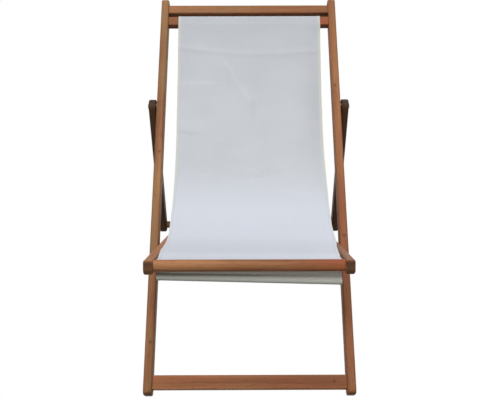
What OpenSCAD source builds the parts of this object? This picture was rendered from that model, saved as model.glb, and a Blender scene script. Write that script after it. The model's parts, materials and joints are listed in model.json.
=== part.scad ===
// Folding wooden deck chair with a hanging canvas sling.
// Millimetres, Z up. The front faces -Y. The origin lies on the floor, below the
// middle of the open chair.

/* [Back frame] */
// Length of a long side rail from its foot to its top end
back_len = 1200; // [1000:5:1400]
// Width over the outer faces of the two long rails
back_w = 540; // [480:2:620]
// Thickness of a long rail across the chair
back_t = 23; // [18:0.5:30]
// Depth of a long rail, square to its length
back_d = 40; // [30:1:50]
// Angle of the long rails above the floor
back_lean = 42.9; // [38:0.1:50]
// Distance of the seat pivot from the foot end
seat_pivot_at = 391; // [370:1:420]
// Distance of the prop pivot from the foot end
prop_pivot_at = 831; // [800:1:850]
// Radius of the rounded rail ends
end_r = 9; // [4:0.5:12]
// Radius of the long edges of the rails and of the prop legs
rail_ease = 4.5; // [2:0.5:5]

/* [Seat frame] */
// Length of a seat rail in front of the pivot
seat_front = 322; // [290:1:330]
// Length of a seat rail behind the pivot
seat_rear = 712; // [690:1:715]
// Thickness of a seat rail across the chair
seat_t = 22; // [16:0.5:24]
// Depth of a seat rail, square to its length
seat_d = 32; // [28:1:40]

/* [Prop] */
// Thickness of a prop leg across the chair
prop_t = 22; // [16:0.5:26]
// Depth of a prop leg, square to its length
prop_d = 40; // [32:1:44]
// Distance of the first notch behind the seat pivot
notch_at = 420; // [400:1:440]
// Spacing of the notches
notch_pitch = 45; // [38:1:55]
// Number of notches in each seat rail
notch_count = 3; // [2:1:4]
// How far the rack of notches lies below the top edge of the seat rail
rack_drop = 4; // [2:0.5:6]
// Depth of a notch below the rack
notch_depth = 3.5; // [2:0.5:5]
// Radius of the round prop bar
prop_bar_r = 11; // [9:0.5:13]

/* [Cross members] */
// Thickness of the flat cross members
bar_t = 23; // [16:0.5:24]
// Radius of the long edges of the flat cross members
bar_ease = 3; // [1:0.5:4]
// Distance of the head rail from the top end of the long rails
head_edge = 18; // [12:1:30]
// Width of the head rail
head_rail_w = 29; // [24:1:40]
// Width of the slot that the sling passes through at the head
head_slot = 13; // [10:0.5:18]
// Width of the slot bar at the head
head_slot_bar_w = 30; // [24:1:40]
// Distance of the foot stretcher from the foot end of the long rails
foot_edge = 14; // [14:1:20]
// Width of the foot stretcher
foot_w = 36; // [28:1:37]
// Distance of the front bar from the front end of the seat rails
front_edge = 12; // [8:1:20]
// Width and height of the rounded front bar
front_bar_w = 28; // [24:1:30]
// Corner radius of the front bar's section
front_bar_r = 12.5; // [8:0.5:13]
// Width of the slot that the sling passes through at the front
front_slot = 12; // [10:0.5:16]
// Width of the slot bar at the front
front_slot_bar_w = 28; // [22:1:36]
// Distance of the rear stretcher from the rear end of the seat rails
rear_edge = 36; // [30:1:60]
// Width of the rear stretcher
rear_w = 36; // [28:1:44]

/* [Sling] */
// Gap between each edge of the canvas and the seat rail beside it
sling_gap = 4.2; // [3:0.1:24]
// Thickness of the canvas
cloth_t = 1.4; // [1.2:0.1:2]
// Radius of the wooden sticks in the two tunnels of the sling
stick_r = 8; // [6:0.5:9]
// Slope of the canvas where it leaves the head
sling_head_slope = 52; // [50:1:56]
// Pull of the head slope along the canvas
sling_head_pull = 420; // [380:5:440]
// Slope of the canvas where it leaves the front bar
sling_seat_slope = 17; // [12:1:20]
// Pull of the seat slope along the canvas
sling_seat_pull = 250; // [200:5:280]

/* [Pivots] */
// Radius of the pivot bolts
bolt_r = 4; // [3:0.5:5]
// Radius of the domed bolt heads and of the nut flanges
bolt_head_r = 9; // [8:0.5:11]
// Height of the domed heads outside the prop legs
bolt_head_h = 3; // [2:0.5:4]
// Thickness of the washers between the rails
washer_t = 2; // [1:0.25:3]
// Radius of the washers between the rails
washer_r = 12; // [11:0.5:14]
// Width across the flats of the lock nuts
nut_af = 13; // [12:0.5:15]
// Height of the lock nuts
nut_h = 6.5; // [5:0.5:8]

/* [Fits] */
// Clearance between a washer and the rail that turns against it
side_clear = 0.3; // [0.3:0.05:0.6]
// Radial clearance of a bolt in its holes
bolt_clear = 0.06; // [0.03:0.01:0.1]
// Clearance round a tenon in its mortise
tenon_clear = 0.12; // [0.05:0.01:0.2]
// Clearance of the canvas from the wood that it lies on
soft_clear = 0.4; // [0.3:0.05:0.6]
// Clearance of the prop bar above the rack of notches
rack_clear = 0.5; // [0.4:0.1:1]

/* [Hidden] */

wood = [0.55, 0.37, 0.24];
wood_b = [0.51, 0.34, 0.22];
wood_c = [0.47, 0.31, 0.2];
canvas = [0.83, 0.82, 0.78];
steel = [0.7, 0.7, 0.69];

tenon_len = 14;
tenon_t = 11;
tenon_edge = 4;
blind = 0.5;
foot_cut = 5;
rear_cut = 4;
leg_extra = 2;
counter_r = 7;
sink = 4.5;
sunk = 0.4;
nut_washer_t = 1.6;
nut_washer_r = 8.5;
tip = 2;
stick_tip = 0.2;
notch_lead = 9;
notch_floor = 5;
notch_rise = 8;

back_in = back_w / 2 - back_t;
rail_gap = washer_t + side_clear;
seat_out = back_in - rail_gap;
seat_in = seat_out - seat_t;
prop_in = back_w / 2 + rail_gap;
prop_out = prop_in + prop_t;

pivot_z = seat_pivot_at * sin(back_lean) + back_d / 2 * cos(back_lean) - foot_cut;
rear_reach = sqrt(seat_rear * seat_rear + seat_d * seat_d / 4);
seat_slope = asin((pivot_z + rear_cut) / rear_reach) - atan(seat_d / 2 / seat_rear);
pivot_y = -(seat_rear - seat_front) / 2 * cos(seat_slope);
pivot_span = prop_pivot_at - seat_pivot_at;
prop_y = pivot_span * cos(back_lean);
prop_z = pivot_z + pivot_span * sin(back_lean);
rack_top = seat_d / 2 - rack_drop;
bar_up = rack_top + rack_clear + prop_bar_r;
bar_y = notch_at * cos(seat_slope) + bar_up * sin(seat_slope);
bar_z = pivot_z - notch_at * sin(seat_slope) + bar_up * cos(seat_slope);
prop_len = sqrt(pow(bar_y - prop_y, 2) + pow(bar_z - prop_z, 2));
prop_turn = atan2(bar_z - prop_z, bar_y - prop_y);

head_top = back_len - head_edge - seat_pivot_at;
head_mid = head_top - head_rail_w - head_slot / 2;
slot_bar_top = head_mid - head_slot / 2;
slot_bar_low = slot_bar_top - head_slot_bar_w;
front_bar_y = -seat_front + front_edge;
front_mid = front_bar_y + front_bar_w + front_slot / 2;
front_slot_bar_y = front_mid + front_slot / 2;
front_low = -front_bar_w / 2;
front_slot_top = front_low + bar_t;
loop_in = stick_r + soft_clear;
loop_out = loop_in + cloth_t;
head_stick_z = -bar_t / 2 - soft_clear - loop_out;
front_stick_z = front_low - soft_clear - loop_out;
lay = soft_clear + cloth_t / 2;
sling_w = 2 * (seat_in - sling_gap);
stick_half = sling_w / 2 + stick_tip;

// Points of the sling's middle line in the side view, as [y, z].
function back_pt(p) = [pivot_y + p[0] * cos(back_lean) - p[1] * sin(back_lean),
  pivot_z + p[0] * sin(back_lean) + p[1] * cos(back_lean)];
function seat_pt(p) = [pivot_y + p[0] * cos(seat_slope) + p[1] * sin(seat_slope),
  pivot_z - p[0] * sin(seat_slope) + p[1] * cos(seat_slope)];
function bezier(a, b, c, d, t) = a * pow(1 - t, 3) + b * 3 * t * pow(1 - t, 2)
  + c * 3 * t * t * (1 - t) + d * pow(t, 3);
corner_r = bar_ease + lay;
head_line = concat(
  [[head_mid, head_stick_z + loop_out - cloth_t], [slot_bar_top + lay + 2.5, 0]],
  [for (a = [0:22.5:90]) [slot_bar_top - bar_ease + corner_r * cos(a), bar_t / 2 - bar_ease + corner_r * sin(a)]],
  [[slot_bar_low + bar_ease, bar_t / 2 + lay]]);
head_end = back_pt([slot_bar_low, bar_t / 2 + lay]);
front_end = seat_pt([front_slot_bar_y + front_slot_bar_w - 2, front_slot_top + lay]);
front_line = concat(
  [[front_slot_bar_y + front_slot_bar_w - 8, front_slot_top + lay]],
  [for (a = [90:22.5:180]) [front_slot_bar_y + bar_ease + corner_r * cos(a),
    front_slot_top - bar_ease + corner_r * sin(a)]],
  [[front_slot_bar_y - lay - 1.5, front_low + 4], [front_mid, front_stick_z + loop_out - cloth_t]]);
head_pull = head_end - sling_head_pull * [cos(sling_head_slope), sin(sling_head_slope)];
front_pull = front_end + sling_seat_pull * [cos(sling_seat_slope), -sin(sling_seat_slope)];
sling_line = concat([for (p = head_line) back_pt(p)],
  [for (t = [0:1 / 36:1]) bezier(head_end, head_pull, front_pull, front_end, t)],
  [for (p = front_line) seat_pt(p)]);
last = len(sling_line) - 1;
function unit(v) = v / norm(v);
function way(i) = unit(sling_line[min(i + 1, last)] - sling_line[max(i - 1, 0)]);
function side(i, h) = sling_line[i] + h * [way(i)[1], -way(i)[0]];

// Frames of the three groups. In each one Y runs along the side rails.
module on_back() {
  translate([0, pivot_y, pivot_z]) rotate([back_lean, 0, 0]) children();
}
module on_seat() {
  translate([0, pivot_y, pivot_z]) rotate([-seat_slope, 0, 0]) children();
}
module on_prop() {
  translate([0, pivot_y + prop_y, prop_z]) rotate([prop_turn, 0, 0]) children();
}
// Both hands of a piece that is drawn on the +X side.
module both() {
  children();
  mirror([1, 0, 0]) children();
}
// A section w wide and h high, centred, with corners of radius r.
module rounded_section(w, h, r) {
  square([w - 2 * r, h], center = true);
  square([w, h - 2 * r], center = true);
  for (a = [-1, 1], b = [-1, 1]) translate([a * (w / 2 - r), b * (h / 2 - r)]) circle(r = r, $fn = 32);
}
// A bar along Y from y0 to y1, with rounded long edges.
module plank(x0, x1, y0, y1, d) {
  translate([(x0 + x1) / 2, y1, 0]) rotate([90, 0, 0]) linear_extrude(y1 - y0)
    rounded_section(x1 - x0, d, rail_ease);
}
// Takes off one square corner of a plank's end, leaving a rounded one of radius r.
module round_corner(x0, x1, y, z, ys, zs, r) {
  translate([x0 - 1, y - ys * r, z - zs * r]) difference() {
    translate([0, ys > 0 ? 0 : -r - 1, zs > 0 ? 0 : -r - 1]) cube([x1 - x0 + 2, r + 1, r + 1]);
    translate([-1, 0, 0]) rotate([0, 90, 0]) cylinder(r = r, h = x1 - x0 + 4, $fn = 64);
  }
}
// A hole along X.
module cross_hole(x0, x1, r) {
  translate([x0, 0, 0]) rotate([0, 90, 0]) cylinder(r = r, h = x1 - x0, $fn = 64);
}
// A cross member between the faces x = -half and x = half, with a tenon at each end.
module cross_bar(half, y0, w, z0, t) {
  plank_across(half, y0, w, z0, t);
  tw = w - 2 * tenon_edge;
  translate([-half - tenon_len, y0 + tenon_edge, z0 + (t - tenon_t) / 2])
    cube([2 * (half + tenon_len), tw, tenon_t]);
}
// A bar along X with rounded long edges.
module plank_across(half, y0, w, z0, t) {
  translate([-half, y0 + w / 2, z0 + t / 2]) rotate([90, 0, 90]) linear_extrude(2 * half)
    rounded_section(w, t, bar_ease);
}
// The mortise for that tenon, cut into a rail whose inner face is at x = half.
module mortise(half, y0, w, z0, t) {
  c = tenon_clear;
  tw = w - 2 * tenon_edge;
  translate([half - 1, y0 + tenon_edge - c, z0 + (t - tenon_t) / 2 - c])
    cube([tenon_len + 1 + blind, tw + 2 * c, tenon_t + 2 * c]);
}

// One long rail on the +X side, in the back frame's own axes.
module back_rail() {
  x0 = back_in;
  x1 = back_w / 2;
  foot = -seat_pivot_at;
  top = back_len - seat_pivot_at;
  difference() {
    plank(x0, x1, foot, top, back_d);
    round_corner(x0, x1, foot, back_d / 2, -1, 1, end_r);
    round_corner(x0, x1, top, back_d / 2, 1, 1, end_r);
    round_corner(x0, x1, top, -back_d / 2, 1, -1, end_r);
    cross_hole(x0 - 1, x1 + 1, bolt_r + bolt_clear);
    translate([x1 - sink - sunk, 0, 0]) rotate([0, 90, 0])
      cylinder(r1 = bolt_r + 0.3, r2 = bolt_head_r + 0.3, h = sink, $fn = 64);
    cross_hole(x1 - sunk - 0.01, x1 + 1, bolt_head_r + 0.3);
    translate([0, pivot_span, 0]) cross_hole(x0 - 1, x1 + 1, counter_r + bolt_clear);
    mortise(back_in, head_top - head_rail_w, head_rail_w, -bar_t / 2, bar_t);
    mortise(back_in, slot_bar_low, head_slot_bar_w, -bar_t / 2, bar_t);
    mortise(back_in, foot + foot_edge, foot_w, -bar_t / 2, bar_t);
    translate([0, 0, -pivot_z]) floor_below(back_lean);
  }
}
// Everything under the floor, seen from a frame that leans by the angle a.
module floor_below(a) {
  thick = 5 * back_d;
  translate([0, 0, pivot_z]) rotate([-a, 0, 0]) translate([-back_w, -back_len, -pivot_z - thick])
    cube([2 * back_w, 2 * back_len, thick]);
}
// One seat rail on the +X side, in the seat frame's own axes.
module seat_rail() {
  x0 = seat_in;
  x1 = seat_out;
  difference() {
    plank(x0, x1, -seat_front, seat_rear, seat_d);
    round_corner(x0, x1, -seat_front, seat_d / 2, -1, 1, end_r - 3);
    round_corner(x0, x1, -seat_front, -seat_d / 2, -1, -1, end_r);
    round_corner(x0, x1, seat_rear, seat_d / 2, 1, 1, end_r);
    cross_hole(x0 - 1, x1 + 1, bolt_r + bolt_clear);
    front_mortises();
    mortise(seat_in, seat_rear - rear_edge - rear_w, rear_w, -bar_t / 2, bar_t);
    translate([x0 - 1, 0, 0]) rack(x1 - x0 + 2);
    translate([0, 0, -pivot_z]) floor_below(-seat_slope);
  }
}
module front_mortises() {
  y = front_bar_y + front_bar_w / 2;
  translate([seat_in - 1, y, 0]) rotate([0, 90, 0])
    cylinder(r = front_bar_w / 2 - tenon_edge + tenon_clear, h = tenon_len + 1 + blind, $fn = 64);
  mortise(seat_in, front_slot_bar_y, front_slot_bar_w, front_low, bar_t);
}
// The rack: a lowered stretch of the top edge with notches that are steep at the rear.
module rack(w) {
  r = prop_bar_r + 1;
  y0 = notch_at - r;
  y1 = notch_at + (notch_count - 1) * notch_pitch + r + notch_rise;
  rotate([90, 0, 90]) linear_extrude(w)
    polygon([[y0 + 4, rack_top], [y1, rack_top], [y1 + 14, seat_d / 2 + 1], [y0 - 1, seat_d / 2 + 1]]);
  for (i = [0:notch_count - 1]) translate([0, notch_at + i * notch_pitch, 0])
    rotate([90, 0, 90]) linear_extrude(w)
      polygon([[-notch_lead, rack_top + 1], [-notch_lead, rack_top], [0, rack_top - notch_depth],
        [notch_floor, rack_top - notch_depth], [notch_rise, rack_top], [notch_rise, rack_top + 1]]);
}
// One prop leg on the +X side, in the prop's own axes.
module prop_leg() {
  x0 = prop_in;
  x1 = prop_out;
  r = prop_d / 2;
  difference() {
    plank(x0, x1, -r, prop_len + r + leg_extra, prop_d);
    round_corner(x0, x1, -r, r, -1, 1, r - 0.5);
    round_corner(x0, x1, -r, -r, -1, -1, r - 0.5);
    round_corner(x0, x1, prop_len + r + leg_extra, r, 1, 1, r - 4);
    round_corner(x0, x1, prop_len + r + leg_extra, -r, 1, -1, r - 4);
    cross_hole(x0 - 1, x1 + 1, bolt_r + bolt_clear);
    translate([x0 - 1, prop_len, 0]) rotate([0, 90, 0])
      cylinder(r = prop_bar_r - 3 + tenon_clear, h = tenon_len + 1 + blind, $fn = 64);
  }
}

module back_rail_left() { color(wood) on_back() mirror([1, 0, 0]) back_rail(); }
module back_rail_right() { color(wood_b) on_back() back_rail(); }
module head_rail() {
  color(wood_c) on_back() cross_bar(back_in, head_top - head_rail_w, head_rail_w, -bar_t / 2, bar_t);
}
module head_slot_bar() {
  color(wood) on_back() cross_bar(back_in, slot_bar_low, head_slot_bar_w, -bar_t / 2, bar_t);
}
module foot_stretcher() {
  color(wood_b) on_back() cross_bar(back_in, foot_edge - seat_pivot_at, foot_w, -bar_t / 2, bar_t);
}
module head_stick() {
  color(wood) on_back() translate([-stick_half, head_mid, head_stick_z])
    rotate([0, 90, 0]) cylinder(r = stick_r, h = 2 * stick_half, $fn = 64);
}
module front_stick() {
  color(wood) on_seat() translate([-stick_half, front_mid, front_stick_z])
    rotate([0, 90, 0]) cylinder(r = stick_r, h = 2 * stick_half, $fn = 64);
}
// The canvas: one sheet that runs round both sticks, sewn back onto itself.
module sling() {
  ring_a = back_pt([head_mid, head_stick_z]);
  ring_b = seat_pt([front_mid, front_stick_z]);
  color(canvas) translate([-sling_w / 2, 0, 0]) rotate([90, 0, 90]) linear_extrude(sling_w) difference() {
    union() {
      polygon(concat([for (i = [0:last]) side(i, cloth_t / 2)],
        [for (i = [last:-1:0]) side(i, -cloth_t / 2)]));
      translate(ring_a) circle(r = loop_out, $fn = 48);
      translate(ring_b) circle(r = loop_out, $fn = 48);
    }
    translate(ring_a) circle(r = loop_in, $fn = 48);
    translate(ring_b) circle(r = loop_in, $fn = 48);
  }
}
module seat_rail_left() { color(wood_b) on_seat() mirror([1, 0, 0]) seat_rail(); }
module seat_rail_right() { color(wood) on_seat() seat_rail(); }
// The front bar has a well rounded section and round tenons.
module front_bar() {
  r = front_bar_w / 2;
  color(wood_b) on_seat() translate([0, front_bar_y + r, 0]) {
    translate([-seat_in, 0, 0]) rotate([90, 0, 90]) linear_extrude(2 * seat_in)
      rounded_section(front_bar_w, front_bar_w, front_bar_r);
    translate([-seat_in - tenon_len, 0, 0]) rotate([0, 90, 0])
      cylinder(r = r - tenon_edge, h = 2 * (seat_in + tenon_len), $fn = 64);
  }
}
module front_slot_bar() {
  color(wood) on_seat() cross_bar(seat_in, front_slot_bar_y, front_slot_bar_w, front_low, bar_t);
}
module rear_stretcher() {
  color(wood_c) on_seat() cross_bar(seat_in, seat_rear - rear_edge - rear_w, rear_w, -bar_t / 2, bar_t);
}
module prop_leg_left() { color(wood_c) on_prop() mirror([1, 0, 0]) prop_leg(); }
module prop_leg_right() { color(wood_c) on_prop() prop_leg(); }
module prop_bar() {
  color(wood_b) on_prop() translate([0, prop_len, 0]) rotate([0, 90, 0]) {
    translate([0, 0, -prop_in]) cylinder(r = prop_bar_r, h = 2 * prop_in, $fn = 64);
    translate([0, 0, -prop_in - tenon_len]) cylinder(r = prop_bar_r - 3, h = 2 * (prop_in + tenon_len), $fn = 64);
  }
}
// Flat-headed bolts from outside, through the long rail and the seat rail.
module seat_pivot_bolts() {
  end = seat_in - nut_washer_t - nut_h - tip;
  color(steel) on_back() both() {
    translate([end, 0, 0]) rotate([0, 90, 0]) cylinder(r = bolt_r, h = back_w / 2 - sunk - end, $fn = 64);
    translate([back_w / 2 - sunk - sink, 0, 0]) rotate([0, 90, 0])
      cylinder(r1 = bolt_r, r2 = bolt_head_r, h = sink, $fn = 64);
  }
}
module ring(x0, x1, ro, ri) {
  translate([x0, 0, 0]) rotate([0, 90, 0]) difference() {
    cylinder(r = ro, h = x1 - x0, $fn = 64);
    translate([0, 0, -1]) cylinder(r = ri, h = x1 - x0 + 2, $fn = 64);
  }
}
module seat_pivot_washers() {
  color(steel) on_back() both() ring(back_in - washer_t, back_in, washer_r, bolt_r + bolt_clear);
}
module seat_nut_washers() {
  x1 = seat_in - side_clear;
  color(steel) on_back() both() ring(x1 - nut_washer_t, x1, nut_washer_r, bolt_r + bolt_clear);
}
module seat_pivot_nuts() {
  x1 = seat_in - side_clear - nut_washer_t;
  color(steel) on_back() both() translate([x1 - nut_h, 0, 0]) rotate([0, 90, 0]) difference() {
    cylinder(r = nut_af / 2 / cos(30), h = nut_h, $fn = 6);
    translate([0, 0, -1]) cylinder(r = bolt_r + bolt_clear, h = nut_h + 2, $fn = 64);
  }
}
// Domed bolts from outside the prop legs, screwed into sleeves in the long rails.
module prop_pivot_bolts() {
  color(steel) on_back() translate([0, pivot_span, 0]) both() {
    translate([back_in + 3, 0, 0]) rotate([0, 90, 0]) {
      cylinder(r = bolt_r, h = prop_out + side_clear - back_in - 3 + 0.5, $fn = 64);
    }
    translate([prop_out + side_clear, 0, 0]) rotate([0, 90, 0]) rotate_extrude($fn = 64)
      polygon([[0, 0], [bolt_head_r, 0], [bolt_head_r, 0.8], [bolt_head_r * 0.9, 1.7],
        [bolt_head_r * 0.66, 2.5], [bolt_head_r * 0.35, bolt_head_h], [0, bolt_head_h]]);
  }
}
module prop_pivot_washers() {
  x0 = back_w / 2;
  color(steel) on_back() translate([0, pivot_span, 0]) both() ring(x0, x0 + washer_t, washer_r, bolt_r + bolt_clear);
}
module prop_pivot_sleeves() {
  color(steel) on_back() translate([0, pivot_span, 0]) both() {
    ring(back_in + 0.5, back_w / 2, counter_r, bolt_r + bolt_clear);
  }
}

back_rail_left();
back_rail_right();
head_rail();
head_slot_bar();
foot_stretcher();
head_stick();
sling();
seat_rail_left();
seat_rail_right();
front_bar();
front_slot_bar();
rear_stretcher();
front_stick();
prop_leg_left();
prop_leg_right();
prop_bar();
seat_pivot_bolts();
seat_pivot_washers();
seat_pivot_nuts();
seat_nut_washers();
prop_pivot_bolts();
prop_pivot_washers();
prop_pivot_sleeves();
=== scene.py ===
import bpy
import json
import math
import random
from mathutils import Matrix, Vector, noise


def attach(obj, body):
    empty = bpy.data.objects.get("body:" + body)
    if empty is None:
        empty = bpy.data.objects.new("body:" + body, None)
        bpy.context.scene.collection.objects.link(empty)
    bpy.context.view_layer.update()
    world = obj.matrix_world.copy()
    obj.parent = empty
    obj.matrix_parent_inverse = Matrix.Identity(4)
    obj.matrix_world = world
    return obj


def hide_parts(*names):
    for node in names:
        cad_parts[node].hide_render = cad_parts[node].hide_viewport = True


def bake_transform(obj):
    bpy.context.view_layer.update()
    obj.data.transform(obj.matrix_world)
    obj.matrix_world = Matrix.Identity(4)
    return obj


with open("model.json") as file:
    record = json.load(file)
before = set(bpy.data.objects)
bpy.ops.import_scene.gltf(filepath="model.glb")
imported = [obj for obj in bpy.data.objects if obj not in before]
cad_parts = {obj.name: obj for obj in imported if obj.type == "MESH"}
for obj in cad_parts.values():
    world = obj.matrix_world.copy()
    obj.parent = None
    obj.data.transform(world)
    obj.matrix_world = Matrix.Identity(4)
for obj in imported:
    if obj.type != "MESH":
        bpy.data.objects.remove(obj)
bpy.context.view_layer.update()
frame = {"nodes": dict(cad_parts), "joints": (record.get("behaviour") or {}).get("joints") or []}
nodes = frame["nodes"]
print("frame loaded,", len(nodes), "pieces of hardware and timber")

# side view of the folding frame: the two pivots, and the angle of each group's rails
folding = {"lean": 42.9, "seatRear": 0.712, "seatHalf": 0.016, "footCut": 0.004,
           "barAlong": 0.42, "barUp": 0.0235}
seatPivot = Vector(frame["joints"][0]["pos_m"])
propPivot = Vector(frame["joints"][1]["pos_m"])
# the seat rail slopes down until the floor cuts a little off its lower rear corner
rear, half = folding["seatRear"], folding["seatHalf"]
seatSlope = math.asin((seatPivot.z + folding["footCut"]) / math.hypot(rear, half)) - math.atan2(half, rear)
# the prop's bar lies over the first notch, above the middle line of the seat rail
barSpot = seatPivot + Matrix.Rotation(-seatSlope, 3, "X") @ Vector((0, folding["barAlong"], folding["barUp"]))
propLength = (barSpot - propPivot).length
propTurn = math.atan2(barSpot.z - propPivot.z, barSpot.y - propPivot.y)
groupAngle = {"back_frame": math.radians(folding["lean"]), "seat_frame": -seatSlope, "prop": propTurn}
groupPivot = {"back_frame": seatPivot, "seat_frame": seatPivot, "prop": propPivot}
groups = {}
for name, angle in groupAngle.items():
    groups[name] = Matrix.Translation(groupPivot[name]) @ Matrix.Rotation(angle, 4, "X")


# small helpers
def deselectAll():
    if bpy.context.object and bpy.context.object.mode != "OBJECT":
        bpy.ops.object.mode_set(mode="OBJECT")
    bpy.ops.object.select_all(action="DESELECT")


def pickOnly(obj):
    deselectAll()
    obj.select_set(True)
    bpy.context.view_layer.objects.active = obj


def applyModifiers(obj):
    pickOnly(obj)
    for m in list(obj.modifiers):
        bpy.ops.object.modifier_apply(modifier=m.name)


def flattenLight(obj):
    # keeps flat faces flat in the light beside their rounded edges
    if obj.data.has_custom_normals:
        pickOnly(obj)
        bpy.ops.mesh.customdata_custom_splitnormals_clear()
    m = obj.modifiers.new("flatFaces", "WEIGHTED_NORMAL")
    m.keep_sharp = True
    applyModifiers(obj)


def settle(obj, group):
    # turns and moves the finished piece to its group's place in the chair
    pickOnly(obj)
    obj.matrix_basis = groups[group] @ obj.matrix_basis
    bpy.ops.object.transform_apply(location=True, rotation=True, scale=True)
    bpy.ops.object.mode_set(mode="EDIT")
    bpy.ops.mesh.select_all(action="SELECT")
    bpy.ops.mesh.remove_doubles(threshold=0.00002)
    bpy.ops.mesh.normals_make_consistent(inside=False)
    bpy.ops.object.mode_set(mode="OBJECT")
    bpy.ops.object.shade_smooth_by_angle(angle=math.radians(35))
    flattenLight(obj)


def selectEdges(obj, test):
    # selects edges whose two ends pass the test, and leaves the piece in edit mode
    pickOnly(obj)
    bpy.ops.object.mode_set(mode="EDIT")
    bpy.ops.mesh.select_mode(type="EDGE")
    bpy.ops.mesh.select_all(action="DESELECT")
    bpy.ops.object.mode_set(mode="OBJECT")
    for e in obj.data.edges:
        a, b = (obj.data.vertices[i].co for i in e.vertices)
        e.select = bool(test(a, b))
    bpy.ops.object.mode_set(mode="EDIT")


def mirrorCopy(obj, name):
    # the same piece for the left side
    pickOnly(obj)
    bpy.ops.object.duplicate(linked=False)
    twin = bpy.context.object
    twin.name = twin.data.name = name
    twin.scale.x = -1
    bpy.ops.object.transform_apply(location=True, rotation=True, scale=True)
    bpy.ops.object.mode_set(mode="EDIT")
    bpy.ops.mesh.select_all(action="SELECT")
    bpy.ops.mesh.normals_make_consistent(inside=False)
    bpy.ops.object.mode_set(mode="OBJECT")
    flattenLight(twin)
    return twin


# building blocks of the materials
def srgb(r, g, b):
    f = lambda c: c / 12.92 if c <= 0.04045 else ((c + 0.055) / 1.055) ** 2.4
    return (f(r / 255), f(g / 255), f(b / 255), 1)


def grey(v):
    return (v, v, v, 1)


def newMaterial(name):
    mat = bpy.data.materials.new(name)
    mat.use_nodes = True
    return mat, mat.node_tree, mat.node_tree.nodes["Principled BSDF"]


def mathNode(tree, kind, a, b=None, clamp=False):
    n = tree.nodes.new("ShaderNodeMath")
    n.operation, n.use_clamp = kind, clamp
    for i, v in enumerate((a, b)):
        if v is None:
            continue
        if isinstance(v, (int, float)):
            n.inputs[i].default_value = v
        else:
            tree.links.new(v, n.inputs[i])
    return n.outputs[0]


def mixColour(tree, factor, a, b, kind="MIX"):
    n = tree.nodes.new("ShaderNodeMix")
    n.data_type, n.blend_type = "RGBA", kind
    for socket, v in ((n.inputs[0], factor), (n.inputs[6], a), (n.inputs[7], b)):
        if isinstance(v, (int, float, tuple)):
            socket.default_value = v
        else:
            tree.links.new(v, socket)
    return n.outputs[2]


def noiseNode(tree, vector, scale, detail, rough, distort=0.0):
    n = tree.nodes.new("ShaderNodeTexNoise")
    n.inputs["Scale"].default_value = scale
    n.inputs["Detail"].default_value = detail
    n.inputs["Roughness"].default_value = rough
    n.inputs["Distortion"].default_value = distort
    tree.links.new(vector, n.inputs["Vector"])
    return n.outputs["Fac"]


def rampNode(tree, factor, stops):
    n = tree.nodes.new("ShaderNodeValToRGB")
    tree.links.new(factor, n.inputs[0])
    while len(n.color_ramp.elements) < len(stops):
        n.color_ramp.elements.new(0.5)
    for e, (at, colour) in zip(n.color_ramp.elements, stops):
        e.position, e.color = at, colour
    return n.outputs[0]


def mapped(tree, source, turn=(0, 0, 0), shift=(0, 0, 0), scale=(1, 1, 1)):
    n = tree.nodes.new("ShaderNodeMapping")
    n.inputs["Rotation"].default_value = turn
    n.inputs["Location"].default_value = shift
    n.inputs["Scale"].default_value = scale
    tree.links.new(source, n.inputs["Vector"])
    return n.outputs[0]


def bumpFrom(tree, bsdf, height, strength, depth):
    n = tree.nodes.new("ShaderNodeBump")
    n.inputs["Strength"].default_value = strength
    n.inputs["Distance"].default_value = depth
    tree.links.new(height, n.inputs["Height"])
    tree.links.new(n.outputs[0], bsdf.inputs["Normal"])


oiledWood = {
    "dark": (92, 57, 34), "mid": (143, 94, 60), "light": (176, 125, 84), "pore": (60, 37, 24),
    "red": (150, 73, 44), "olive": (138, 110, 72), "end": (44, 31, 22),
    "fibreShare": 0.38, "oliveShare": 0.7, "poreShare": 0.4, "endShare": 0.72, "knotShare": 0.55,
    "roughness": 0.56, "roughSpread": 0.18, "gloss": 0.14, "bump": 0.22, "bumpDepth": 0.0006,
}
# layers of the grain: repeats per metre along and across it, detail, roughness, distortion
grainLayers = {
    "bands": (1.2, 34, 3, 0.5, 0.35), "fibre": (9, 420, 5, 0.6, 0.0), "pores": (38, 900, 2, 0.5, 0.0),
    "broad": (2.5, 9, 2, 0.5, 0.0), "warm": (1.6, 14, 2, 0.5, 0.0), "dull": (5, 30, 3, 0.55, 0.3),
}


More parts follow.
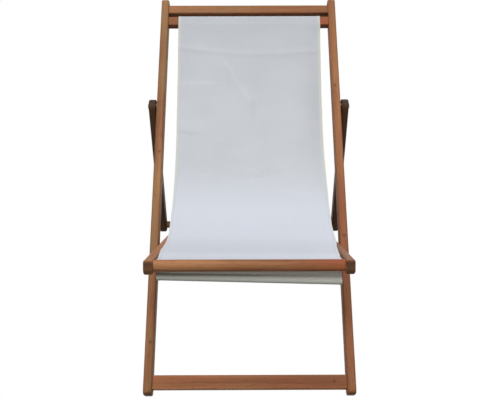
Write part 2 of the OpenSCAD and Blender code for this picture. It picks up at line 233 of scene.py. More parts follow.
def woodMaterial(name, turn, along, seed, tone, red, knots):
    # straight-grained oiled hardwood; along is the axis of the grain after the turn
    mat, tree, bsdf = newMaterial(name)
    wood = oiledWood
    rnd = random.Random(seed)
    coord = tree.nodes.new("ShaderNodeTexCoord").outputs["Object"]
    shift = tuple(rnd.uniform(-3, 3) for _ in range(3))
    base = mapped(tree, coord, turn=turn)
    times = lambda a, b: mathNode(tree, "MULTIPLY", a, b)
    shade = lambda key: srgb(*(v * tone for v in wood[key]))

    def layer(key, offset=shift):
        lengthwise, crosswise, detail, rough, distort = grainLayers[key]
        stretch = tuple(lengthwise if i == along else crosswise for i in range(3))
        return noiseNode(tree, mapped(tree, base, shift=offset, scale=stretch), 1.0, detail, rough, distort)

    fibre = layer("fibre")
    bands = times(layer("bands"), 1 - wood["fibreShare"])
    grain = mathNode(tree, "ADD", bands, times(fibre, wood["fibreShare"]))
    colour = rampNode(tree, grain, [(0.34, shade("dark")), (0.48, shade("mid")), (0.65, shade("light"))])
    warm = rampNode(tree, layer("warm", shift[::-1]), [(0.4, grey(0)), (0.68, grey(1))])
    colour = mixColour(tree, times(warm, red), colour, shade("red"))
    dull = rampNode(tree, layer("dull", shift[1:] + shift[:1]), [(0.46, grey(0)), (0.66, grey(1))])
    colour = mixColour(tree, times(dull, wood["oliveShare"] - 0.6 * red), colour, shade("olive"))
    poreMask = rampNode(tree, layer("pores"), [(0.3, grey(1)), (0.42, grey(0))])
    colour = mixColour(tree, times(poreMask, wood["poreShare"]), colour, shade("pore"))
    lift = rampNode(tree, layer("broad"), [(0.32, (0.8, 0.78, 0.76, 1)), (0.68, (1.15, 1.15, 1.14, 1))])
    colour = mixColour(tree, 1.0, colour, lift, "MULTIPLY")
    # end grain drinks more oil and goes darker; its dark colour and large share are also painted shade on the
    # rounded ends and feet, which face away from the lamps
    facing = tree.nodes.new("ShaderNodeTexCoord").outputs["Normal"]
    split = tree.nodes.new("ShaderNodeSeparateXYZ")
    tree.links.new(mapped(tree, facing, turn=turn), split.inputs[0])
    ends = mathNode(tree, "ABSOLUTE", split.outputs[along])
    ends = rampNode(tree, ends, [(0.45, grey(0)), (0.9, grey(1))])
    colour = mixColour(tree, times(ends, wood["endShare"]), colour, srgb(*wood["end"]))
    for at, size in knots:
        away = tree.nodes.new("ShaderNodeVectorMath")
        away.operation = "DISTANCE"
        tree.links.new(coord, away.inputs[0])
        away.inputs[1].default_value = at
        eye = mathNode(tree, "DIVIDE", away.outputs["Value"], size)
        eye = rampNode(tree, eye, [(0.25, grey(1)), (0.95, grey(0))])
        colour = mixColour(tree, times(eye, wood["knotShare"]), colour, shade("pore"))
    tree.links.new(colour, bsdf.inputs["Base Color"])
    smoothest = wood["roughness"] - wood["roughSpread"] / 2
    rough = mathNode(tree, "ADD", times(fibre, wood["roughSpread"]), smoothest)
    tree.links.new(rough, bsdf.inputs["Roughness"])
    bsdf.inputs["Specular IOR Level"].default_value = wood["gloss"]
    height = mathNode(tree, "SUBTRACT", fibre, times(poreMask, 0.5))
    bumpFrom(tree, bsdf, height, wood["bump"], wood["bumpDepth"])
    return mat


# timber
def timber(name, x, y, z):
    # a planed board between the given limits, in its group's own axes; one number stands for both sides
    x, y, z = (v if isinstance(v, tuple) else (-v, v) for v in (x, y, z))
    deselectAll()
    middle = [(low + high) / 2 for low, high in (x, y, z)]
    size = [high - low for low, high in (x, y, z)]
    bpy.ops.mesh.primitive_cube_add(size=1, location=middle, scale=size)
    bpy.ops.object.transform_apply(location=True, rotation=True, scale=True)
    board = bpy.context.object
    board.name = board.data.name = name
    return board


def bevelEdges(board, test, width, segments):
    selectEdges(board, test)
    bpy.ops.mesh.bevel(offset=width, offset_type="OFFSET", segments=segments, profile=0.5, affect="EDGES")
    bpy.ops.object.mode_set(mode="OBJECT")


def roundEnd(board, y, z, width, segments=6):
    # rounds the end corner that runs across the board at this y and z
    near = lambda p: abs(p.y - y) < 1e-5 and abs(p.z - z) < 1e-5
    bevelEdges(board, lambda a, b: near(a) and near(b), width, segments)


def easeLongEdges(board, width):
    # softens every edge that is still sharp
    m = board.modifiers.new("ease", "BEVEL")
    m.width, m.segments, m.limit_method, m.angle_limit = width, 5, "ANGLE", math.radians(50)
    m.loop_slide = False  # sliding folds the faces at the short front corner
    applyModifiers(board)


def cutLevel(board, group):
    # saws the board off level with the floor
    inverse = groups[group].inverted()
    up = (inverse.to_3x3() @ Vector((0, 0, 1))).normalized()
    pickOnly(board)
    bpy.ops.object.mode_set(mode="EDIT")
    bpy.ops.mesh.select_all(action="SELECT")
    bpy.ops.mesh.bisect(plane_co=inverse.to_translation(), plane_no=up, use_fill=True, clear_inner=True)
    bpy.ops.object.mode_set(mode="OBJECT")


# long rails of the back frame
longRail = {"inner": 0.247, "outer": 0.27, "foot": -0.391, "top": 0.809, "half": 0.02,
            "topRound": 0.009, "footRound": 0.014, "ease": 0.0045}
railRight = timber("backRailRight", (longRail["inner"], longRail["outer"]),
                   (longRail["foot"], longRail["top"]), longRail["half"])
roundEnd(railRight, longRail["foot"], longRail["half"], longRail["footRound"], 8)
for z in (-longRail["half"], longRail["half"]):
    roundEnd(railRight, longRail["top"], z, longRail["topRound"])
cutLevel(railRight, "back_frame")
easeLongEdges(railRight, longRail["ease"])
settle(railRight, "back_frame")
railLeft = mirrorCopy(railRight, "backRailLeft")

# seat rails, a little deeper below than the source's, as in the photo
seatRail = {"inner": 0.2227, "outer": 0.2447, "front": -0.322, "rear": folding["seatRear"],
            "half": folding["seatHalf"], "under": 0.019,
            "topRound": 0.007, "underRound": 0.014, "rearRound": 0.009, "ease": 0.0045}
# rack in the top edge: the numbers after depth are places before or after a notch's middle
rackOfNotches = {"first": folding["barAlong"], "pitch": 0.045, "count": 3, "drop": 0.004, "depth": 0.0035,
                 "leadIn": (0.013, 0.008), "firstLip": 0.0035, "lip": 0.009, "floor": 0.005, "rise": 0.008,
                 "leadOut": (0.020, 0.031)}


def notchProfile():
    # the top edge's height at each place along the rack
    rack = rackOfNotches
    top = seatRail["half"]
    low = top - rack["drop"]
    floor = low - rack["depth"]
    last = rack["first"] + (rack["count"] - 1) * rack["pitch"]
    line = [(rack["first"] - rack["leadIn"][0], top), (rack["first"] - rack["leadIn"][1], low)]
    for i in range(rack["count"]):
        y = rack["first"] + i * rack["pitch"]
        lip = rack["lip"] if i else rack["firstLip"]
        line += [(y - lip, low), (y, floor), (y + rack["floor"], floor), (y + rack["rise"], low)]
    return line + [(last + rack["leadOut"][0], low), (last + rack["leadOut"][1], top)]


def cutRack(board):
    # cuts the board across at each point of the profile, then lowers the upper edges to it
    line = notchProfile()
    pickOnly(board)
    bpy.ops.object.mode_set(mode="EDIT")
    for y, _ in line:
        bpy.ops.mesh.select_all(action="SELECT")
        bpy.ops.mesh.bisect(plane_co=(0, y, 0), plane_no=(0, 1, 0))
    for y, height in line:
        selectEdges(board, lambda a, b: max(abs(a.y - y), abs(b.y - y)) < 2e-5 and min(a.z, b.z) > 0.005)
        bpy.ops.transform.translate(value=(0, 0, height - seatRail["half"]))
    bpy.ops.object.mode_set(mode="OBJECT")


seatRight = timber("seatRailRight", (seatRail["inner"], seatRail["outer"]),
                   (seatRail["front"], seatRail["rear"]), (-seatRail["under"], seatRail["half"]))
cutRack(seatRight)
roundEnd(seatRight, seatRail["front"], seatRail["half"], seatRail["topRound"])
roundEnd(seatRight, seatRail["front"], -seatRail["under"], seatRail["underRound"], 8)
roundEnd(seatRight, seatRail["rear"], seatRail["half"], seatRail["rearRound"])
cutLevel(seatRight, "seat_frame")
easeLongEdges(seatRight, seatRail["ease"])
settle(seatRight, "seat_frame")
seatLeft = mirrorCopy(seatRight, "seatRailLeft")

# prop legs: how far they reach above the pivot and past the bar, and how round each end is
propLeg = {"inner": 0.2723, "outer": 0.2943, "half": 0.02, "above": 0.02, "past": 0.022,
           "topRound": 0.0195, "footRound": 0.016, "ease": 0.0045}
legFoot = propLength + propLeg["past"]
legRight = timber("propLegRight", (propLeg["inner"], propLeg["outer"]), (-propLeg["above"], legFoot),
                  propLeg["half"])
for y, r in ((-propLeg["above"], propLeg["topRound"]), (legFoot, propLeg["footRound"])):
    for z in (-propLeg["half"], propLeg["half"]):
        roundEnd(legRight, y, z, r, 9)
easeLongEdges(legRight, propLeg["ease"])
settle(legRight, "prop")
legLeft = mirrorCopy(legRight, "propLegLeft")
print("side rails and prop legs made")

# flat cross members: node, group, half length, limits along the group, limits or half depth square to it
boardHalf = 0.0115
barEdge = 0.003  # rounding of their long edges
crossMembers = {
    "headRail": ("head_rail", "back_frame", longRail["inner"], (0.762, 0.791), boardHalf),
    "headSlotBar": ("head_slot_bar", "back_frame", longRail["inner"], (0.719, 0.749), boardHalf),
    "footStretcher": ("foot_stretcher", "back_frame", longRail["inner"], (-0.377, -0.341), boardHalf),
    "frontSlotBar": ("front_slot_bar", "seat_frame", seatRail["inner"], (-0.27, -0.242), (-0.014, 0.009)),
    "rearStretcher": ("rear_stretcher", "seat_frame", seatRail["inner"], (0.64, 0.676), boardHalf),
}
lengthwise = lambda a, b: abs(a.x - b.x) > 0.1
bars = {}
for name, (node, group, half, y, z) in crossMembers.items():
    bar = timber(name, half, y, z)
    bevelEdges(bar, lengthwise, barEdge, 4)
    settle(bar, group)
    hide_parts(node)
    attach(bar, group)
    bars[name] = bar

frontBarSize = {"front": -0.31, "rear": -0.282, "half": 0.014, "round": 0.0125}
frontBar = timber("frontBar", seatRail["inner"], (frontBarSize["front"], frontBarSize["rear"]),
                  frontBarSize["half"])
bevelEdges(frontBar, lengthwise, frontBarSize["round"], 8)
settle(frontBar, "seat_frame")


def turnedStick(name, size, spot, group, tilt=0.0):
    # a turned stick across the chair, its ends eased
    deselectAll()
    half, across = size["half"], (0, math.pi / 2, 0)
    bpy.ops.mesh.primitive_cylinder_add(vertices=40, radius=size["radius"], depth=2 * half, rotation=across)
    bpy.ops.object.transform_apply(location=True, rotation=True, scale=True)
    stick = bpy.context.object
    stick.name = stick.data.name = name
    bevelEdges(stick, lambda a, b: abs(a.x - b.x) < 1e-6 and abs(abs(a.x) - half) < 1e-5, size["tip"], 3)
    stick.location = (0, *spot)
    stick.rotation_euler = (0, tilt, 0)
    settle(stick, group)
    return stick


# round sticks: spots along the group and square to it
slingStick = {"radius": 0.008, "half": 0.2187, "tip": 0.0015}
propStick = {"radius": 0.011, "half": propLeg["inner"], "tip": 0.0004}
headSpot, frontSpot = (0.7555, -0.0217), (-0.276, -0.0242)
canvasWidth = 0.437
frontDroop = {"left": 0.004, "right": 0.016}  # the unloaded canvas lets the front stick hang askew
hungSpot = (frontSpot[0], frontSpot[1] - (frontDroop["left"] + frontDroop["right"]) / 2)
askew = math.atan((frontDroop["right"] - frontDroop["left"]) / canvasWidth)
headStick = turnedStick("headStick", slingStick, headSpot, "back_frame")
frontStick = turnedStick("frontStick", slingStick, hungSpot, "seat_frame", askew)
propBar = turnedStick("propBar", propStick, (propLength, 0), "prop")
print("cross members and sticks made")

for piece, node, group in (
        (railRight, "back_rail_right", "back_frame"), (railLeft, "back_rail_left", "back_frame"),
        (seatRight, "seat_rail_right", "seat_frame"), (seatLeft, "seat_rail_left", "seat_frame"),
        (legRight, "prop_leg_right", "prop"), (legLeft, "prop_leg_left", "prop"),
        (frontBar, "front_bar", "seat_frame"), (headStick, "head_stick", "back_frame"),
        (frontStick, "front_stick", "seat_frame"), (propBar, "prop_bar", "prop")):
    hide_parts(node)
    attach(piece, group)


def knotsOn(group, *spots):
    # each knot by its place across the chair, along the group's rails and square to them, and its size
    return [(tuple(groups[group] @ Vector(at)), size) for at, size in spots]


# piece: slot, material, group, axis of the grain, seed, tone, share of red, knots
timberLooks = {
    railLeft: ("back_wood", "backLeftWood", "back_frame", 1, 31, 1.0, 0.1,
               knotsOn("back_frame", ((-0.2555, 0.285, 0.02), 0.0065), ((-0.2555, -0.258, 0.02), 0.007))),
    railRight: ("back_wood", "backRightWood", "back_frame", 1, 12, 0.96, 0.5,
                knotsOn("back_frame", ((0.256, 0.5, 0.02), 0.006), ((0.26, 0.03, 0.02), 0.007))),
    seatLeft: ("seat_wood", "seatLeftWood", "seat_frame", 1, 13, 1.0, 0.25, ()),
    seatRight: ("seat_wood", "seatRightWood", "seat_frame", 1, 14, 0.9, 0.8, ()),
    # the prop legs' low tone is painted shade: they stand in the shade beside the rails
    legLeft: ("prop_wood", "legLeftWood", "prop", 1, 15, 0.52, 0.1, ()),
    legRight: ("prop_wood", "legRightWood", "prop", 1, 16, 0.52, 0.1, ()),
    bars["headRail"]: ("bar_wood", "headRailWood", "back_frame", 0, 17, 0.98, 0.15, ()),
    bars["headSlotBar"]: ("bar_wood", "slotBarWood", "back_frame", 0, 18, 0.92, 0.8, ()),
    bars["footStretcher"]: ("bar_wood", "footWood", "back_frame", 0, 19, 0.98, 0.95,
                            knotsOn("back_frame", ((0.215, -0.357, 0.0115), 0.006))),
    bars["frontSlotBar"]: ("bar_wood", "frontSlotWood", "seat_frame", 0, 20, 1.0, 0.3, ()),
    bars["rearStretcher"]: ("bar_wood", "rearWood", "seat_frame", 0, 21, 1.0, 0.3, ()),
    frontBar: ("bar_wood", "frontBarWood", "seat_frame", 0, 22, 1.0, 1.0,
               knotsOn("seat_frame", ((0.148, -0.306, -0.0125), 0.0065))),
    headStick: ("stick_wood", "headStickWood", "back_frame", 0, 23, 1.05, 0.2, ()),
    frontStick: ("stick_wood", "frontStickWood", "seat_frame", 0, 24, 1.05, 0.2, ()),
    propBar: ("prop_wood", "propBarWood", "prop", 0, 25, 0.85, 0.3, ()),
}
for piece, (slot, name, group, along, seed, tone, red, knots) in timberLooks.items():
    look = woodMaterial(name, (-groupAngle[group], 0, 0), along, seed, tone, red, knots)
    piece.data.materials.clear()
    piece.data.materials.append(look)
print("timber finished")

# the canvas sling: lengths run along it from where it comes free of the slot bar at the head
canvasCut = {
    "thick": 0.0009, "hem": 0.008, "hemThick": 0.0018, "rows": 340, "curveSteps": 60,
    "headSlope": 52, "headPull": 0.42, "seatSlope": 17, "seatPull": 0.25,  # ends of the hanging curve
    "loop": 0.0091, "over": 0.0011,  # middle line round a stick, and over the wood
    "headTurn": 0.0885,  # length in the head tunnel and the slot, before it comes free
    "free": 0.89, "touch": 0.002,  # where it lies on the front slot bar, and how far from the bar's rear edge
    "fade": 0.06,  # creases, ripples and roll fade out over this length at both ends
    "waist": 0.004, "waistFull": 0.5, "waistEnd": (0.87, 0.83), "waistFade": 0.12,  # its end left and right
    "flare": 0.0018, "flareFrom": 0.83, "flareFull": 0.85, "flareTo": 0.92, "flareFade": 0.03,
    "shift": 0.0026, "lowerShift": 0.002, "lowerFrom": 0.3, "lowerFull": 0.6, "shiftEnd": 0.855,
    "wobble": 0.0006, "wobbleWide": 0.02, "ripple": 0.0011,
    "roll": (0.00065, 0.0065), "rollWide": 0.055, "rollEnd": 0.58, "rollFade": 0.2,  # left and right edge
    "creaseWide": 0.006, "creaseStart": 0.024,  # half width of a crest's mark, and where the creases begin
}
# places of the columns next to each edge, closer together over the hem
hemColumns = (0, 0.0008, 0.003, 0.0055, 0.0075, 0.0083, 0.011, 0.016, 0.023)
innerColumns = 84
# the way down through each slot, along the group and square to it
headSlotWay = ((0.7555, -0.0128), (0.7537, -0.006), (0.7526, 0.0))
frontSlotWay = ((-0.2726, -0.006), (-0.2755, -0.0152))
# creases: height, reach above and below the crest, share of painted light on the crest, painted shade when
# below nought, then points as (across from the centre, along from the head), in metres
creases = (
    (0.0015, 0.009, 0.009, 0.012, ((-0.215, 0.074), (-0.11, 0.088), (0.0, 0.098), (0.1, 0.094), (0.2, 0.087))),
    (0.0014, 0.008, 0.030, 0.035, ((-0.205, 0.196), (-0.13, 0.195))),
    (0.0026, 0.007, 0.035, 0.034, ((-0.07, 0.132), (-0.045, 0.175), (-0.018, 0.222), (0.005, 0.252))),
    (0.0018, 0.007, 0.030, -0.020, ((0.005, 0.252), (0.006, 0.295))),
    (0.0022, 0.035, 0.007, -0.030, ((-0.215, 0.352), (-0.17, 0.36))),
    (0.0026, 0.010, 0.018, 0.012, ((-0.09, 0.470), (-0.02, 0.492), (0.04, 0.480))),
    (0.0022, 0.018, 0.009, -0.016, ((0.02, 0.505), (0.08, 0.490))),
    (0.0022, 0.010, 0.020, 0.012, ((-0.19, 0.500), (-0.06, 0.520))),
    (0.0022, 0.010, 0.020, 0.016, ((0.1, 0.565), (0.2, 0.58))),
    (0.0010, 0.012, 0.014, 0.010, ((-0.12, 0.455), (-0.06, 0.440), (0.0, 0.452))),
    (0.0010, 0.012, 0.014, -0.010, ((0.03, 0.430), (0.05, 0.375), (0.04, 0.33))),
)


def onGroup(group, y, z):
    p = groups[group] @ Vector((0, y, z))
    return Vector((p.y, p.z))


def slingLine(droop):
    # the canvas's middle line in the side view, from the head tunnel to the front tunnel
    onBack = lambda y, z: onGroup("back_frame", y, z)
    onSeat = lambda y, z: onGroup("seat_frame", y, z)
    loop, over = canvasCut["loop"], canvasCut["over"]
    lay = barEdge + over
    (headNear, headFar), headTop = crossMembers["headSlotBar"][3:]
    (seatFront, seatRear), (_, seatTop) = crossMembers["frontSlotBar"][3:]
    line = []
    for a in range(345, 0, -15):
        t = math.radians(a)
        line.append(onBack(headSpot[0] + loop * math.sin(t), headSpot[1] + loop * math.cos(t)))
    line += [onBack(*p) for p in headSlotWay]
    for a in (0, 22.5, 45, 67.5, 90):
        t = math.radians(a)
        line.append(onBack(headFar - barEdge + lay * math.cos(t), headTop - barEdge + lay * math.sin(t)))
    a, d = onBack(headNear, headTop + over), onSeat(seatRear - canvasCut["touch"], seatTop + over)
    headSlope, seatDip = math.radians(canvasCut["headSlope"]), math.radians(canvasCut["seatSlope"])
    b = a - canvasCut["headPull"] * Vector((math.cos(headSlope), math.sin(headSlope)))
    c = d + canvasCut["seatPull"] * Vector((math.cos(seatDip), -math.sin(seatDip)))
    for i in range(canvasCut["curveSteps"] + 1):
        t = i / canvasCut["curveSteps"]
        line.append(a * (1 - t) ** 3 + b * 3 * t * (1 - t) ** 2 + c * 3 * t * t * (1 - t) + d * t ** 3)
    for a in (90, 112.5, 135, 157.5, 180):
        t = math.radians(a)
        line.append(onSeat(seatFront + barEdge + lay * math.cos(t), seatTop - barEdge + lay * math.sin(t)))
    line += [onSeat(*p) for p in frontSlotWay]
    for a in range(0, 345, 15):
        t = math.radians(a)
        line.append(onSeat(frontSpot[0] - loop * math.sin(t), frontSpot[1] - droop + loop * math.cos(t)))
    return line


def evenly(line, count):
    # the same line walked in equal steps: places with their ways, and the whole length
    at = [0.0]
    for a, b in zip(line, line[1:]):
        at.append(at[-1] + (b - a).length)
    steps, i = [], 0
    for k in range(count + 1):
        want = at[-1] * k / count
        while i < len(line) - 2 and at[i + 1] < want:
            i += 1
        t = (want - at[i]) / max(1e-9, at[i + 1] - at[i])
        steps.append((line[i].lerp(line[i + 1], t), (line[i + 1] - line[i]).normalized()))
    return steps, at[-1]


def acrossPlaces():
    # places of the columns across the canvas
    edge = canvasWidth / 2
    left = [-edge + step for step in hemColumns]
    inner = [left[-1] * (1 - 2 * i / innerColumns) for i in range(1, innerColumns)]
    return left + inner + [-x for x in reversed(left)]


def softStep(x):
    # a soft step from nought to one
    x = min(1.0, max(0.0, x))
    return x ** 2 * (3 - 2 * x)


def creaseAt(across, along):
    # how far the creases lift the canvas at this place, and the painted light and shade on their crests
    lift, crestShading = 0.0, 0.0
    for height, above, below, crestLight, points in creases:
        gap, reach = 1.0, above
        for (x0, s0), (x1, s1) in zip(points, points[1:]):
            dx, ds = x1 - x0, s1 - s0
            t = ((across - x0) * dx + (along - s0) * ds) / (dx * dx + ds * ds)
            held = min(1.0, max(0.0, t))
            away = math.hypot(across - x0 - held * dx, along - s0 - held * ds)
            if away < gap:
                gap = away
                reach = below if dx * (along - s0) > ds * (across - x0) else above
        lift += height * math.exp(-(gap / reach) ** 2)
        crestShading += crestLight * math.exp(-(gap / canvasCut["creaseWide"]) ** 2)
    return lift, crestShading


def liftAt(x, along):
    # how far creases, ripples and the rolled edges move the canvas off its line, and the painted light and
    # shade on the creases' crests
    cut, edge, right = canvasCut, canvasWidth / 2 - abs(x), x > 0
    free = softStep(along / cut["fade"]) * softStep((cut["free"] - along) / cut["fade"])
    lift, crestShading = creaseAt(x, along - cut["creaseStart"])
    lift += cut["ripple"] * noise.noise(Vector((x * 9, along * 7, 2.0)))
    rolled = cut["roll"][right] * softStep((cut["rollEnd"] - along) / cut["rollFade"])
    lift -= rolled * softStep(1 - edge / cut["rollWide"])
    return lift * free, crestShading * free


def sidewaysAt(x, along):
    # the canvas narrows to a waist, flares at the front bar and hangs a little to the right
    cut, edge, right = canvasCut, canvasWidth / 2 - abs(x), x > 0
    waist = cut["waist"] * softStep(along / cut["waistFull"])
    waist *= softStep((cut["waistEnd"][right] - along) / cut["waistFade"])
    flare = cut["flare"] * softStep((along - cut["flareFrom"]) / (cut["flareFull"] - cut["flareFrom"]))
    waist -= flare * softStep((cut["flareTo"] - along) / cut["flareFade"])
    lower = softStep((along - cut["lowerFrom"]) / (cut["lowerFull"] - cut["lowerFrom"]))
    shift = (cut["shift"] + cut["lowerShift"] * lower) * softStep((cut["shiftEnd"] - along) / cut["fade"])
    wobble = cut["wobble"] * noise.noise(Vector((along * 14, 5.0 if right else 9.0, 0.0)))
    return x * (1 - waist / (canvasWidth / 2)) + shift + wobble * softStep(1 - edge / cut["wobbleWide"])


across = acrossPlaces()
rows, columns = canvasCut["rows"], len(across) - 1
deselectAll()
bpy.ops.mesh.primitive_grid_add(x_subdivisions=columns, y_subdivisions=rows, size=1, calc_uvs=True)
sling = bpy.context.object
sling.name = sling.data.name = "slingCanvas"
walks = []
for x in across:
    share = (x + canvasWidth / 2) / canvasWidth
    droop = frontDroop["left"] + (frontDroop["right"] - frontDroop["left"]) * share
    walks.append(evenly(slingLine(droop), rows))
total = sum(length for _, length in walks) / len(walks)
paintedCreaseLight = sling.data.attributes.new("paintedCreaseLight", "FLOAT", "POINT")
for v in sling.data.vertices:
    i, k = round((v.co.x + 0.5) * columns), round((v.co.y + 0.5) * rows)
    steps, length = walks[i]
    p, way = steps[k]
    x, along = across[i], length * k / rows - canvasCut["headTurn"]
    out = Vector((-way.y, way.x))
    if out.y < 0 and 0 < along < canvasCut["free"]:
        out = -out
    lift, crestShading = liftAt(x, along)
    paintedCreaseLight.data[v.index].value = crestShading
    v.co = (sidewaysAt(x, along), p.x + out.x * lift, p.y + out.y * lift)
hemGroup = sling.vertex_groups.new(name="hem")
for v in sling.data.vertices:
    inHem = canvasWidth / 2 - abs(across[v.index % (columns + 1)]) < canvasCut["hem"]
    hemGroup.add([v.index], 1.0 if inHem else canvasCut["thick"] / canvasCut["hemThick"], "REPLACE")
m = sling.modifiers.new("cloth", "SOLIDIFY")
m.thickness, m.offset, m.vertex_group = canvasCut["hemThick"], 0, "hem"
applyModifiers(sling)
bpy.ops.object.shade_smooth_by_angle(angle=math.radians(60))
print("canvas cut %.3f m long" % total)

canvasLook = {
    "cloth": (203, 207, 212), "pale": (209, 212, 218), "cool": (218, 222, 232), "hem": (216, 217, 210),
    "tunnel": (238, 239, 229), "under": (186, 182, 170), "stitch": (176, 175, 166),
    "roughness": 0.92, "gloss": 0.1, "sheen": 0.08, "through": 0.15, "bump": 0.3, "bumpDepth": 0.00018,
    "weave": 0.00085, "yarn": 1.4, "stitchRate": 1900.0, "seamShare": 0.55, "seamDip": 2.5,
    # painted shade on a stretch of the right edge: middle, half length and fade, share
    "edgeShadeAt": 0.44, "edgeShadeHalf": 0.1, "edgeShadeFade": 0.16, "paintedEdgeShade": 0.06,
    # from the front end of the canvas: the fold into the slot, the seam, the tunnel and half its turn
    "fold": 0.072, "seam": 0.062, "tunnelStart": 0.0548, "halfTurn": 0.0286,
    # in columns from the edge: the hem's inner edge, its row of stitches, the row's half width and fade
    "hemEdge": 4.6, "hemRow": 3.5, "rowHalf": 0.16, "rowFade": 0.1,
    "seamHalf": 0.0006, "seamFade": 0.0004,
}


def canvasMaterial(name):
    mat, tree, bsdf = newMaterial(name)
    look = canvasLook
    calc = lambda kind, a, b=None, clamp=False: mathNode(tree, kind, a, b, clamp)
    times = lambda a, b: calc("MULTIPLY", a, b)

    def bandNode(value, middle, half, soft):
        # one inside middle +- half, fading to nought over soft
        away = calc("ABSOLUTE", calc("SUBTRACT", value, middle))
        return calc("SUBTRACT", 1.0, calc("DIVIDE", calc("SUBTRACT", away, half), soft), True)

    def dashes(value):
        return calc("GREATER_THAN", calc("SINE", times(value, look["stitchRate"])), -0.35)

    split = tree.nodes.new("ShaderNodeSeparateXYZ")
    tree.links.new(tree.nodes.new("ShaderNodeUVMap").outputs[0], split.inputs[0])
    coord = tree.nodes.new("ShaderNodeTexCoord").outputs["Object"]
    place = tree.nodes.new("ShaderNodeSeparateXYZ")
    tree.links.new(coord, place.inputs[0])
    x = place.outputs[0]
    column = times(split.outputs[0], float(columns))
    side = calc("MINIMUM", column, calc("SUBTRACT", float(columns), column))
    along = times(split.outputs[1], total)
    # uneven yarn: long faint slubs along and across
    slub = noiseNode(tree, mapped(tree, coord, scale=(5, 260, 260)), 1.0, 2, 0.5)
    warp = noiseNode(tree, mapped(tree, coord, scale=(320, 6, 6)), 1.0, 2, 0.5)
    blotch = noiseNode(tree, coord, 6.0, 3, 0.5)
    yarn = calc("ADD", times(slub, 0.5), times(warp, 0.5))
    colour = rampNode(tree, blotch, [(0.32, srgb(*look["cloth"])), (0.7, srgb(*look["pale"]))])
    # lower down the cloth turns a little bluer, and paler as painted light where the seat faces up to the
    # lamps
    low = rampNode(tree, along, [(0.6, grey(0)), (0.75, grey(1))])
    colour = mixColour(tree, low, colour, srgb(*look["cool"]))
    # painted light and shade along the cloth: darker where it comes free under the head rail, paler down the
    # seat, a little darker before the front slot bar, and a painted highlight where it turns over that bar
    paintedLightAlong = rampNode(tree, calc("SUBTRACT", along, canvasCut["headTurn"]), [
        (0.01, grey(0.94)), (0.27, grey(1)), (0.78, grey(1.03)), (0.815, grey(0.98)), (0.865, grey(0.97)),
        (0.89, grey(1.06))])
    colour = mixColour(tree, 1.0, colour, paintedLightAlong, "MULTIPLY")
    # painted shade darkens the right edge a little from a quarter to two thirds of the way down
    paintedEdgeShade = bandNode(along, look["edgeShadeAt"], look["edgeShadeHalf"], look["edgeShadeFade"])
    paintedEdgeShade = times(rampNode(tree, x, [(0.13, grey(0)), (0.205, grey(1))]), paintedEdgeShade)
    colour = mixColour(tree, times(paintedEdgeShade, look["paintedEdgeShade"]), colour, grey(0.02))
    # painted light and shade on the creases' crests
    creaseLightNode = tree.nodes.new("ShaderNodeAttribute")
    creaseLightNode.attribute_name = "paintedCreaseLight"
    colour = mixColour(tree, 1.0, colour, calc("ADD", creaseLightNode.outputs["Fac"], 1.0), "MULTIPLY")
    # the front tunnel hangs in the shade of the bar; painted light makes it paler than the cloth, and painted
    # shade darkens the front of its turn
    inFold = calc("GREATER_THAN", along, total - look["fold"])
    turn = calc("DIVIDE", calc("SUBTRACT", along, total - look["tunnelStart"]), look["halfTurn"])
    paintedTunnelShading = rampNode(tree, turn, [
        (0.0, grey(1.15)), (0.2, grey(0.9)), (0.35, grey(0.68)), (0.5, grey(0.64)), (0.7, grey(0.8)),
        (0.9, grey(1.0))])
    tunnel = mixColour(tree, 1.0, srgb(*look["tunnel"]), paintedTunnelShading, "MULTIPLY")
    colour = mixColour(tree, inFold, colour, tunnel)
    tone = rampNode(tree, yarn, [(0.35, grey(0.985)), (0.65, grey(1.01))])
    colour = mixColour(tree, 1.0, colour, tone, "MULTIPLY")
    # the hems are creamier, less so low down, with a row of stitches; another row closes the tunnel
    hem = times(calc("LESS_THAN", side, look["hemEdge"]), calc("SUBTRACT", 0.8, times(low, 0.6)))
    colour = mixColour(tree, hem, colour, srgb(*look["hem"]))
    seam = times(bandNode(side, look["hemRow"], look["rowHalf"], look["rowFade"]), dashes(along))
    cross = bandNode(along, total - look["seam"], look["seamHalf"], look["seamFade"])
    seam = calc("MAXIMUM", seam, times(cross, dashes(x)))
    colour = mixColour(tree, times(seam, look["seamShare"]), colour, srgb(*look["stitch"]))
    tree.links.new(colour, bsdf.inputs["Base Color"])
    bsdf.inputs["Roughness"].default_value = look["roughness"]
    bsdf.inputs["Specular IOR Level"].default_value = look["gloss"]
    bsdf.inputs["Sheen Weight"].default_value = look["sheen"]
    # plain weave: warp and weft threads over and under each other
    rate = math.pi / look["weave"]
    weave = times(calc("SINE", times(along, rate)), calc("SINE", times(x, rate)))
    weave = calc("ADD", weave, times(yarn, look["yarn"]))
    height = calc("SUBTRACT", weave, times(seam, look["seamDip"]))
    bumpFrom(tree, bsdf, height, look["bump"], look["bumpDepth"])
    # daylight comes through the cloth a little, warmer than it falls on it
    glow = tree.nodes.new("ShaderNodeBsdfTranslucent")
    glow.inputs["Color"].default_value = srgb(*look["under"])
    mix = tree.nodes.new("ShaderNodeMixShader")
    mix.inputs[0].default_value = look["through"]
    tree.links.new(bsdf.outputs[0], mix.inputs[1])
    tree.links.new(glow.outputs[0], mix.inputs[2])
    tree.links.new(mix.outputs[0], tree.nodes["Material Output"].inputs["Surface"])
    return mat


sling.data.materials.clear()
sling.data.materials.append(canvasMaterial("clothCanvas"))
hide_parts("sling")
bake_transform(sling)
print("canvas hung")

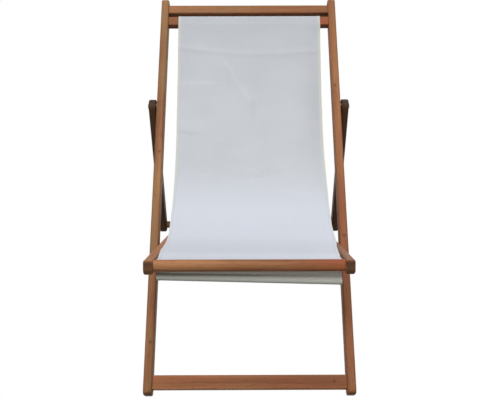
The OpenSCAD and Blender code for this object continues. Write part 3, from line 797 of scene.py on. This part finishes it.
# hardware: the bolts, washers and nuts keep their CAD solids
zincLook = {"dark": (84, 80, 75), "light": (128, 124, 118), "wearScale": 221.0,
            "roughness": 0.42, "roughSpread": 0.2}
zinc, tree, bsdf = newMaterial("zincSteel")
coord = tree.nodes.new("ShaderNodeTexCoord").outputs["Object"]
wear = noiseNode(tree, coord, zincLook["wearScale"], 3, 0.6)
colour = rampNode(tree, wear, [(0.3, srgb(*zincLook["dark"])), (0.75, srgb(*zincLook["light"]))])
tree.links.new(colour, bsdf.inputs["Base Color"])
bsdf.inputs["Metallic"].default_value = 1.0
spread = mathNode(tree, "MULTIPLY", wear, zincLook["roughSpread"])
tree.links.new(mathNode(tree, "ADD", spread, zincLook["roughness"]), bsdf.inputs["Roughness"])
for name in ("seat_pivot_bolts", "seat_pivot_washers", "seat_pivot_nuts", "seat_nut_washers",
             "prop_pivot_bolts", "prop_pivot_washers", "prop_pivot_sleeves"):
    nodes[name].data.materials.clear()
    nodes[name].data.materials.append(zinc)
print("hardware finished")


# floor, light and camera
def whiteWhenSeen(tree, plain, white, output):
    # the photo's white ground for the camera and for reflections, the plain shader for all other light
    path = tree.nodes.new("ShaderNodeLightPath")
    mix = tree.nodes.new("ShaderNodeMixShader")
    mirrored = mathNode(tree, "MAXIMUM", path.outputs["Is Glossy Ray"], path.outputs["Is Transmission Ray"])
    tree.links.new(mathNode(tree, "MAXIMUM", path.outputs["Is Camera Ray"], mirrored), mix.inputs[0])
    tree.links.new(plain, mix.inputs[1])
    tree.links.new(white, mix.inputs[2])
    tree.links.new(mix.outputs[0], tree.nodes[output].inputs["Surface"])


studio = {"floorSize": 12, "floorDrop": 0.0005, "floorGrey": 0.12, "skyStrength": 0.09}
deselectAll()
bpy.ops.mesh.primitive_plane_add(size=studio["floorSize"], location=(0, 0, -studio["floorDrop"]))
floor = bpy.context.object
floor.name = "studioFloor"
mat, tree, bsdf = newMaterial("whiteFloor")
bsdf.inputs["Base Color"].default_value = grey(studio["floorGrey"])
bsdf.inputs["Roughness"].default_value = 1.0
bsdf.inputs["Specular IOR Level"].default_value = 0.0
emit = tree.nodes.new("ShaderNodeEmission")
emit.inputs["Strength"].default_value = 1.0
whiteWhenSeen(tree, bsdf.outputs[0], emit.outputs[0], "Material Output")
floor.data.materials.append(mat)

world = bpy.data.worlds.new("studioWorld")
bpy.context.scene.world = world
world.use_nodes = True
tree = world.node_tree
sky = tree.nodes["Background"]
sky.inputs["Color"].default_value = grey(1)
sky.inputs["Strength"].default_value = studio["skyStrength"]
white = tree.nodes.new("ShaderNodeBackground")
white.inputs["Color"].default_value = grey(1)
whiteWhenSeen(tree, sky.outputs[0], white.outputs[0], "World Output")

# soft boxes: place, target, size, power
softBoxes = {
    "frontTopLight": ((-0.2, -3.7, 6.8), (0, 0, 0.2), 3.0, 395),
    "topLight": ((-0.6, 0.0, 8.0), (0, 0, 0.4), 4.0, 190),
    "lowFill": ((-0.4, -5.0, 0.8), (0, 0, 0.2), 2.0, 20),
    "rearFill": ((0.9, 5.6, 2.6), (0, 0, 0.4), 3.0, 110),
}
for name, (place, target, size, power) in softBoxes.items():
    data = bpy.data.lights.new(name, "AREA")
    data.shape, data.size, data.energy = "SQUARE", size, power
    lamp = bpy.data.objects.new(name, data)
    bpy.context.collection.objects.link(lamp)
    lamp.location = place
    lamp.rotation_euler = (Vector(target) - Vector(place)).to_track_quat("-Z", "Y").to_euler()

# the photo's camera: degrees down, right and rolled, focal length in pixels of a picture 500 wide
shot = {"place": (-0.0011, -1.9057, 1.2544), "down": 25.742, "right": 0.121, "roll": -0.129,
        "focal": 722.56, "across": 500, "sensor": 36.0}
camData = bpy.data.cameras.new("photoCamera")
camData.sensor_width = shot["sensor"]
camData.lens = shot["focal"] / shot["across"] * shot["sensor"]
camera = bpy.data.objects.new("photoCamera", camData)
bpy.context.collection.objects.link(camera)
camera.location = shot["place"]
aim = Matrix.Rotation(math.radians(-shot["right"]), 3, "Z")
aim = aim @ Matrix.Rotation(math.radians(90 - shot["down"]), 3, "X")
aim = aim @ Matrix.Rotation(math.radians(shot["roll"]), 3, "Z")
camera.rotation_euler = aim.to_euler()
bpy.context.scene.camera = camera
print("floor, light and camera set")

bpy.context.scene.view_settings.view_transform = "Standard"
